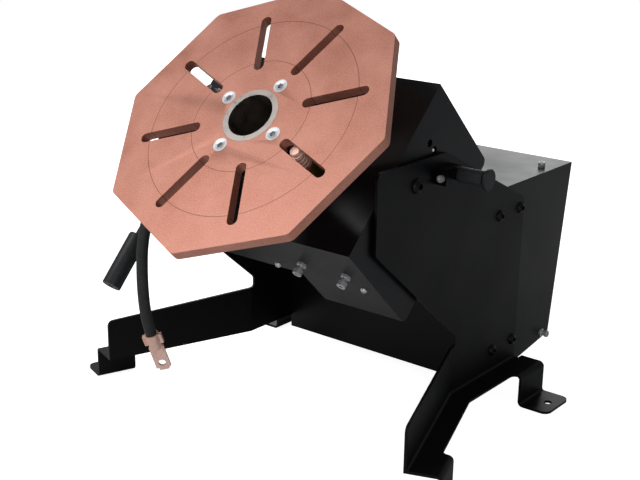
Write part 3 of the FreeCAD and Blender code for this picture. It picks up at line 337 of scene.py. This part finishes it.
# ---------------------------------------------------------------- head box
# Front plate, two cheeks and folded covers of coated sheet that make the tilting head; its deep side holds
# the gear motor. Zinc screws hold the covers and two larger ones the gearbox.
head_coat = powder_coat("head_powder_coat", "#050508", "#0e0f13", rough=0.38, sheen=0.22)
for node, width in (("head_front_plate", 0.0008), ("head_cheek_right", 0.0006), ("head_cheek_left", 0.0006),
                    ("head_top_cover", 0.0005), ("head_bottom_cover", 0.0004), ("head_rear_cover", 0.0004),
                    ("motor_cover", 0.0005)):
    eased(node, head_coat, width)
HALF = math.sqrt(0.5)
DOWNSLOPE = (0, -HALF, -HALF)


def on_head(x, along, out):
    """A point given from the tilt axis along and out of the table, as a point of the row frame, in metres."""
    return (x, pivot[1] + (along - out) * HALF, pivot[2] + (along + out) * HALF)


SOLE = -0.1385
cover_screw = [(0, -0.009), (0.003, -0.009), (0.003, -0.006), (0.0046, -0.006, 6), (0.0046, -0.002, 6),
               (0.003, -0.002), (0.003, 0), *dome(0.005, 0.0045, 0.0018)]
screws = [turned_points(on_head(x, SOLE, z), DOWNSLOPE, cover_screw, around=36)
          for x, z in ((-0.15, -0.048), (0.013, -0.048), (0.047, -0.048), (0.158, -0.054))]
dress(surface_piece("cover_screws_turned", screws, bright_zinc), "head", "zinc", "head_cover_screws")
gearbox_bolt = [(0, -0.025), (0.004, -0.025), (0.004, 0), (0.0065, 0, 6), (0.0065, 0.0035, 6),
                (0.004, 0.0035), (0.004, 0.009), (0.0062, 0.009), (0.0065, 0.0094), (0.0065, 0.0165),
                (0.006, 0.017), (0.0042, 0.017), (0.0034, 0.0166, 6), (0.0034, 0.0125, 6), (0, 0.012)]
bolts = [turned_points(on_head(x, SOLE, -0.02265), DOWNSLOPE, gearbox_bolt) for x in (0.0706, 0.1452)]
dress(surface_piece("gearbox_bolts_turned", bolts, bright_zinc), "head", "zinc", "gearbox_bolts")

# ---------------------------------------------------------------- spindle bearings
# A flanged aluminium housing with two deep-groove bearings, screwed to the head's front plate.
eased("bearing_housing", head_coat, 0.0008)
for node in ("front_bearing", "rear_bearing"):
    finish(node, turned_steel)
finish("housing_screws", black_steel)

# ---------------------------------------------------------------- table
# An octagonal plate of solid copper, 15 mm thick, milled and turned: eight radial slots for clamps, two
# scribed setting-out circles, eased edges, and four countersunk screws into the hollow spindle.
TABLE_FACE = 0.13435
SPINDLE_DROP = -0.017
SCREW_CIRCLE = 0.0554
SCRIBED_CIRCLES = (0.089, 0.1565)
SCRIBED_HALF_WIDTH = 0.00045
CENTRE = on_head(0, SPINDLE_DROP, TABLE_FACE)
TILT = math.radians(45)


def copper(name, dark, light, rings=True):
    """Milled copper. On the face, r = sqrt(x^2 + y^2) from the spindle's axis draws the scribed circles."""
    material, tree, shader = new_material(name)
    place = add(tree, "ShaderNodeTexCoord").outputs["Object"]
    settle = add(tree, "ShaderNodeMapping", {"vector_type": "TEXTURE"}, Vector=place, Location=CENTRE,
                 Rotation=(TILT, 0, 0)).outputs[0]
    cloud = add(tree, "ShaderNodeTexNoise", Vector=settle, Scale=14.0, Detail=6.0,
                Roughness=0.6).outputs["Fac"]
    grit = add(tree, "ShaderNodeTexNoise", Vector=settle, Scale=520.0, Detail=3.0).outputs["Fac"]
    mixed = add(tree, "ShaderNodeMix", {"data_type": "FLOAT"}, Factor=0.45, _2=cloud, _3=grit).outputs[0]
    colour = ramp(tree, mixed, (0.36, dark), (0.62, light))
    height = grit
    if rings:
        parts = add(tree, "ShaderNodeSeparateXYZ", Vector=settle)
        flat = add(tree, "ShaderNodeCombineXYZ", X=parts.outputs[0], Y=parts.outputs[1])
        radius = add(tree, "ShaderNodeVectorMath", {"operation": "LENGTH"},
                     _0=flat.outputs[0]).outputs["Value"]
        lines = []
        for ring in SCRIBED_CIRCLES:
            gap = add(tree, "ShaderNodeMath", {"operation": "SUBTRACT"}, _0=radius, _1=ring).outputs[0]
            near = add(tree, "ShaderNodeMath", {"operation": "ABSOLUTE"}, _0=gap).outputs[0]
            lines.append(add(tree, "ShaderNodeMath", {"operation": "LESS_THAN"}, _0=near,
                             _1=SCRIBED_HALF_WIDTH).outputs[0])
        line = add(tree, "ShaderNodeMath", {"operation": "MAXIMUM"}, _0=lines[0], _1=lines[1]).outputs[0]
        soft = add(tree, "ShaderNodeMath", {"operation": "MULTIPLY"}, _0=line, _1=0.85).outputs[0]
        colour = add(tree, "ShaderNodeMix", {"data_type": "RGBA"}, Factor=soft, _6=colour,
                     _7=linear("#6e3f2e")).outputs[2]
        height = add(tree, "ShaderNodeMath", {"operation": "SUBTRACT"}, _0=grit, _1=line).outputs[0]
    tree.links.new(colour, shader.inputs["Base Color"])
    tree.links.new(ramp(tree, cloud, (0.3, 0.38), (0.7, 0.52)), shader.inputs["Roughness"])
    bump = add(tree, "ShaderNodeBump", Strength=0.12, Distance=0.0003, Height=height)
    tree.links.new(bump.outputs[0], shader.inputs["Normal"])
    shader.inputs["Metallic"].default_value = 0.55
    return material


table_copper = copper("milled_copper", "#a76b58", "#c58a78")
eased("table_plate", table_copper, 0.0012)
finish("spindle", oiled_steel("spindle_steel", "#a39a94", rough=0.34, metal=1.0))
sunk = [(0, -0.02625), (0.005, -0.02625), (0.005, -0.00525), (0.01025, 0), (0.0043, 0),
        (0.0035, -0.0004, 6), (0.0035, -0.005, 6), (0, -0.0054)]
angles = np.radians(68.25 + 90 * np.arange(4))
seats = [on_head(SCREW_CIRCLE * math.cos(a), SPINDLE_DROP + SCREW_CIRCLE * math.sin(a), TABLE_FACE)
         for a in angles]
screws = [turned_points(seat, (0, -HALF, HALF), sunk) for seat in seats]
dress(surface_piece("table_screws_turned", screws, bright_zinc), "table", "zinc", "table_screws")

# ---------------------------------------------------------------- spindle drive
# A steel spur wheel on the spindle and the gear motor's pinion, with the gearbox and motor in the deep side.
for node in ("driven_gear", "pinion", "spindle_nut"):
    finish(node, turned_steel)
finish("gearbox", oiled_steel("cast_gearbox", "#4a4b4d", rough=0.55, metal=0.6))
finish("drive_motor", powder_coat("motor_enamel", "#141416", "#242528", rough=0.45))

# ---------------------------------------------------------------- current path
# A sprung copper brush in a holder on the bearing housing's flange bears on the back of the table, and a
# copper strap leads the welding current from that flange to the cable's terminal.
plain_copper = copper("drawn_copper", "#d8a593", "#f4d2c4", rings=False)
for node in ("brush_spring", "bus_strap", "cable_terminal", "brush"):
    finish(node, plain_copper)
finish("brush_holder", bronze)
finish("terminal_bolt", bright_zinc)

# ---------------------------------------------------------------- earth cable
# A short length of 16.5 mm rubber-covered copper welding cable, bolted to the strap behind the table and
# hanging free in front of the machine, with a crimped copper lug on its end.
rubber = powder_coat("cable_rubber", "#1a1b1b", "#303131", rough=0.62, grain=0.25)
route = [on_head(-0.145, 0.026, 0.077), on_head(-0.145, -0.034, 0.081), on_head(-0.145, -0.099, 0.082),
         (-0.145, -0.436, 0.292), (-0.145, -0.440, 0.216), (-0.145, -0.433, 0.155),
         (-0.145, -0.421, 0.1256)]
curve = bpy.data.curves.new("earth_cable", "CURVE")
curve.dimensions = "3D"
line = curve.splines.new("NURBS")
line.points.add(len(route) - 1)
line.points.foreach_set("co", np.hstack((np.array(route), np.ones((len(route), 1)))).ravel())
line.order_u = 3
line.use_endpoint_u = True
line.resolution_u = 16
curve.bevel_depth = 0.00825
curve.bevel_resolution = 8
curve.use_fill_caps = True
curve.materials.append(rubber)
cable = bpy.data.objects.new("earth_cable", curve)
bpy.context.scene.collection.objects.link(cable)
dress(cable, "head", "cable_rubber", "cable")
lug = eased("cable_lug", plain_copper, 0.0009)

# ---------------------------------------------------------------- lever
# A steel rod in a clamped hub on the left pivot stud, with a long smooth grip, for tilting the head by hand.
eased("lever_hub", black_steel, 0.001)
finish("lever_rod", black_steel)
lean = math.radians(2.5)
lever_way = (0, (-math.cos(lean) + math.sin(lean)) * HALF, (-math.cos(lean) - math.sin(lean)) * HALF)
GRIP_REACH = 0.171
start = on_head(-0.212, -GRIP_REACH * math.cos(lean), -GRIP_REACH * math.sin(lean))
handle = [(0, 0.0792), (0.00602, 0.0792), (0.00602, 0), (0.0132, 0), (0.0136, 0.0004), (0.0136, 0.002),
          (0.0142, 0.0026), (0.0142, 0.083), (0.0138, 0.0838), (0.0045, 0.084), (0.004, 0.0815),
          (0, 0.0813)]
dress(surface_piece("lever_grip_turned", [turned_points(start, lever_way, handle)], moulded_black), "head",
      "black_plastic", "lever_grip")

# ---------------------------------------------------------------- floor, light and camera
# A white floor that fades into a white surround, a soft key light from the front left, a small one low in
# front and a broad one behind, and a camera in front on the right, a little above the table.
floor_mesh = bpy.data.meshes.new("floor")
FLOOR_REACH, FLOOR_DROP = 3, -0.0005
corners = [(x * FLOOR_REACH, y * FLOOR_REACH, FLOOR_DROP) for x, y in ((-1, -1), (1, -1), (1, 1), (-1, 1))]
floor_mesh.from_pydata(corners, [], [(0, 1, 2, 3)])
floor = bpy.data.objects.new("floor", floor_mesh)
bpy.context.scene.collection.objects.link(floor)
floor_white, tree, shader = new_material("floor_white")
shader.inputs["Base Color"].default_value = (0.82, 0.82, 0.82, 1)
shader.inputs["Roughness"].default_value = 0.9
ray = add(tree, "ShaderNodeLightPath")
lift = add(tree, "ShaderNodeMath", {"operation": "MULTIPLY"}, _0=ray.outputs["Is Camera Ray"], _1=0.9)
shader.inputs["Emission Color"].default_value = (1, 1, 1, 1)
tree.links.new(lift.outputs[0], shader.inputs["Emission Strength"])
floor_mesh.materials.append(floor_white)

world = bpy.data.worlds.new("studio")
bpy.context.scene.world = world
world.use_nodes = True
tree = world.node_tree
tree.nodes.clear()
ray = add(tree, "ShaderNodeLightPath")
seen = add(tree, "ShaderNodeBackground", Color=(1, 1, 1, 1), Strength=1.0)
lighting = add(tree, "ShaderNodeBackground", Color=(0.93, 0.96, 1.0, 1), Strength=0.27)
mix = add(tree, "ShaderNodeMixShader", _0=ray.outputs["Is Camera Ray"], _1=lighting.outputs[0],
          _2=seen.outputs[0])
world_output = tree.nodes.new("ShaderNodeOutputWorld")
tree.links.new(mix.outputs[0], world_output.inputs["Surface"])

LIT = Vector((0, -0.2, 0.3))
for name, place, size, power in (("key", (-1.3, -2.0, 2.3), 1.5, 46), ("side", (1.5, -2.6, 0.8), 0.9, 13),
                                 ("back", (-1.7, 2.4, 1.3), 2.2, 30)):
    data = bpy.data.lights.new(name, "AREA")
    data.energy = power
    data.size = size
    lamp = bpy.data.objects.new(name, data)
    aim = (LIT - Vector(place)).to_track_quat("-Z", "Y")
    lamp.matrix_world = Matrix.Translation(place) @ aim.to_matrix().to_4x4()
    bpy.context.scene.collection.objects.link(lamp)

camera_data = bpy.data.cameras.new("camera")
camera_data.lens = 68.15
camera_data.sensor_width = 36
camera_data.clip_end = 50
camera = bpy.data.objects.new("camera", camera_data)
bpy.context.scene.collection.objects.link(camera)
EYE = (1.04606, -1.53745, 0.79798)
RIGHT_RISES = 0.014241
forward = Vector((-0.59271, 0.74538, -0.30512)).normalized()
level = forward.cross(Vector((0, 0, 1))).normalized()
upright = level.cross(forward)
roll = math.asin(RIGHT_RISES / upright.z)
right = level * math.cos(roll) + upright * math.sin(roll)
up = right.cross(forward)
camera.matrix_world = Matrix((
    (right.x, up.x, -forward.x, EYE[0]), (right.y, up.y, -forward.y, EYE[1]),
    (right.z, up.z, -forward.z, EYE[2]), (0, 0, 0, 1),
))
bpy.context.scene.camera = camera
bpy.context.scene.view_settings.view_transform = "Standard"
